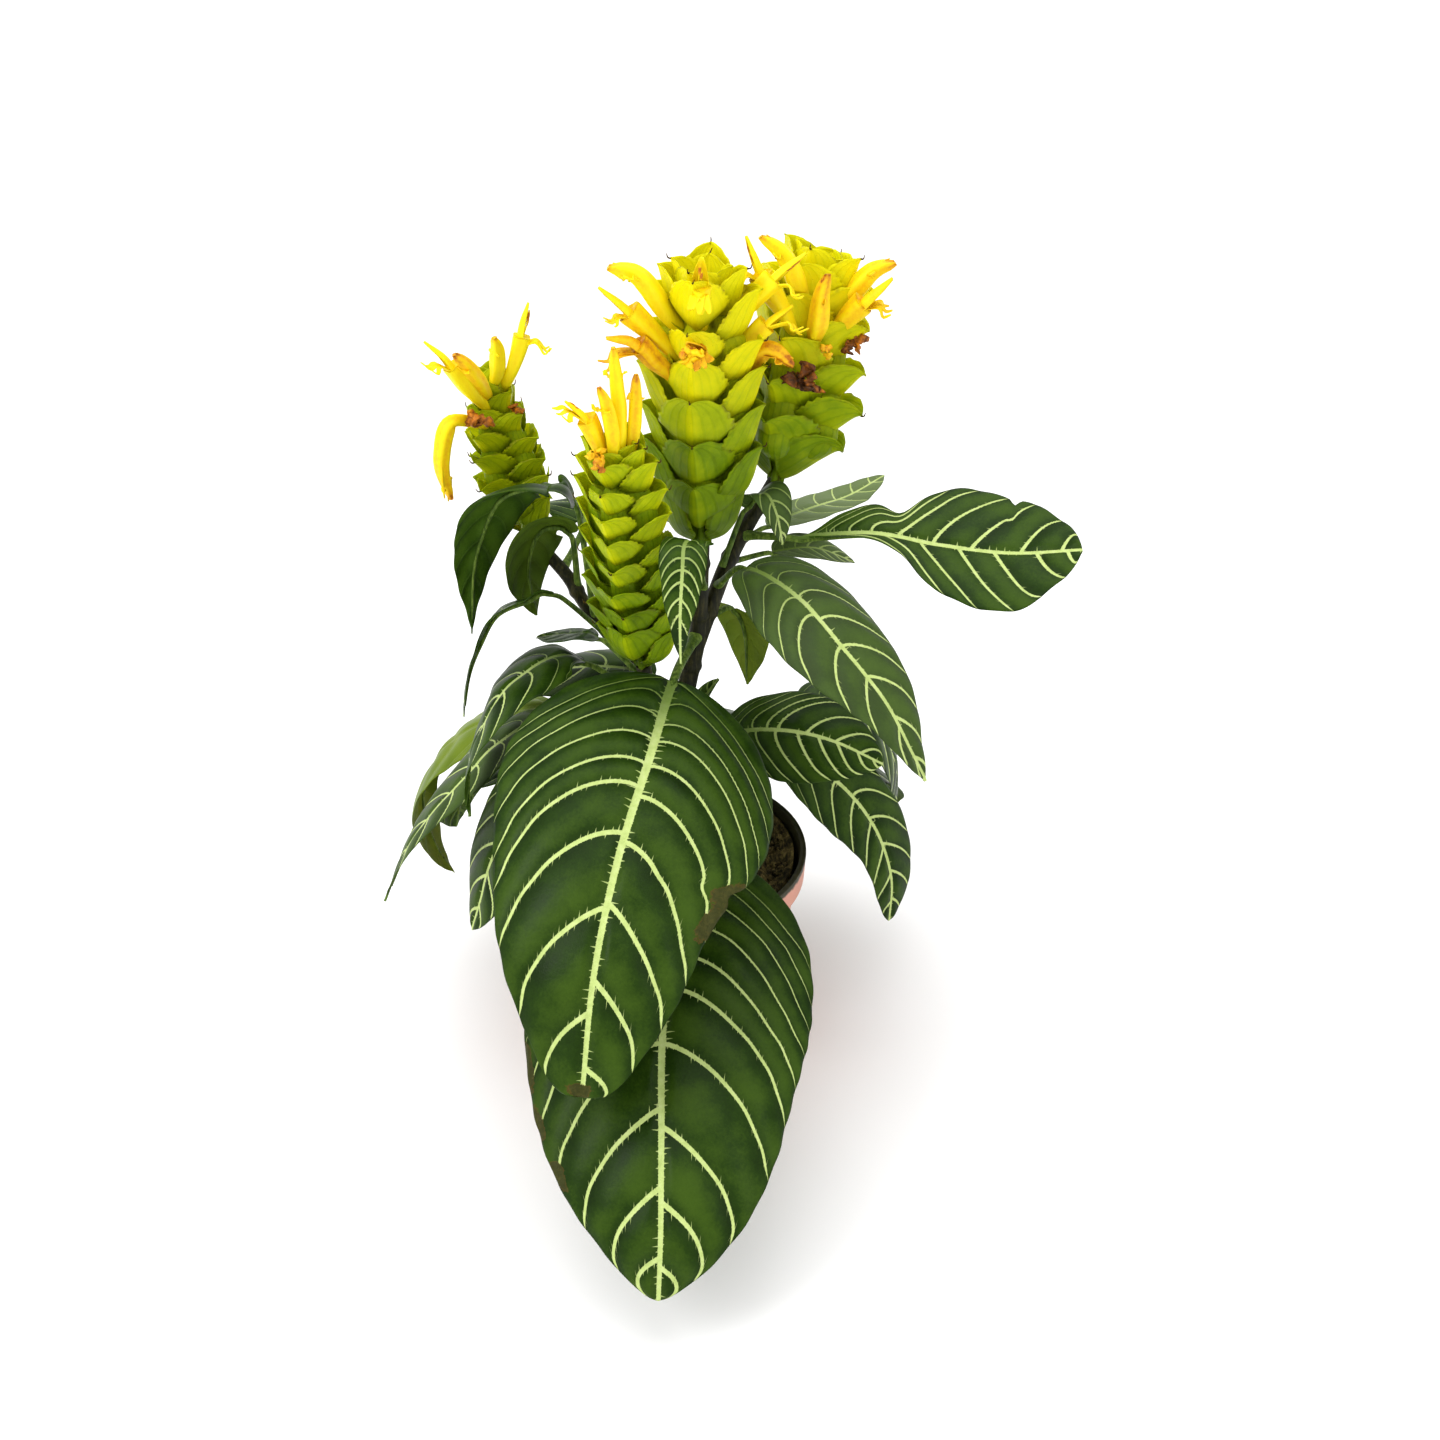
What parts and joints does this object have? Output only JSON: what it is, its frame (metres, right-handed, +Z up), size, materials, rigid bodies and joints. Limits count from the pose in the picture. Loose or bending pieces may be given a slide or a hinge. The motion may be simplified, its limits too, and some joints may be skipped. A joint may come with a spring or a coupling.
{
  "type": "aphelandra in a pot",
  "caption": "Flowering aphelandra: dark leaves with pale veins on short dark stems, yellow bract spikes with tubular flowers, in a plain tapered nursery pot.",
  "frame": {"origin": "centre of the underside of the pot's foot, on the surface it stands on", "axes": "+Z up along the pot's axis; -Y is the front, where the two largest leaves hang over the rim; +X is the right side seen from the front"},
  "size_m": [0.3032, 0.3773, 0.4031],
  "materials": {
    "pot": "satin",
    "potting_mix": "matte",
    "stem": "matte",
    "leaf": "satin",
    "bract": "satin",
    "flower": "satin"
  },
  "bodies": {
    "root": {"pot": "pot", "potting_mix": "potting_mix", "main_stem": "stem", "right_shoot": "stem", "front_shoot": "stem", "left_shoot": "stem", "flower_centre_1": "flower", "flower_centre_2": "flower", "flower_centre_3": "flower", "flower_centre_4": "flower", "flower_centre_5": "flower", "flower_centre_6": "flower", "flower_centre_7": "flower", "flower_centre_8": "flower", "flower_front_1": "flower", "flower_front_2": "flower", "flower_front_3": "flower", "flower_front_4": "flower", "flower_left_1": "flower", "flower_left_2": "flower", "flower_left_3": "flower", "flower_left_4": "flower", "flower_left_5": "flower", "flower_right_1": "flower", "flower_right_2": "flower", "flower_right_3": "flower", "flower_right_4": "flower", "flower_right_5": "flower", "leaf_back_left": "leaf", "leaf_back_low": "leaf", "leaf_back_right": "leaf", "leaf_back_side": "leaf", "leaf_back_upper": "leaf", "leaf_centre_small": "leaf", "leaf_front_lower": "leaf", "leaf_front_upper": "leaf", "leaf_left_back": "leaf", "leaf_left_long": "leaf", "leaf_left_low": "leaf", "leaf_left_mid": "leaf", "leaf_left_short": "leaf", "leaf_left_thin": "leaf", "leaf_left_up": "leaf", "leaf_left_up_back": "leaf", "leaf_left_wide": "leaf", "leaf_right_back": "leaf", "leaf_right_curl": "leaf", "leaf_right_far": "leaf", "leaf_right_front": "leaf", "leaf_right_hang": "leaf", "leaf_right_low": "leaf", "leaf_right_low_back": "leaf", "leaf_right_mid": "leaf", "leaf_right_small": "leaf", "leaf_young": "leaf", "spike_centre": "bract", "spike_front": "bract", "spike_left": "bract", "spike_right": "bract"}
  },
  "joints": []
}
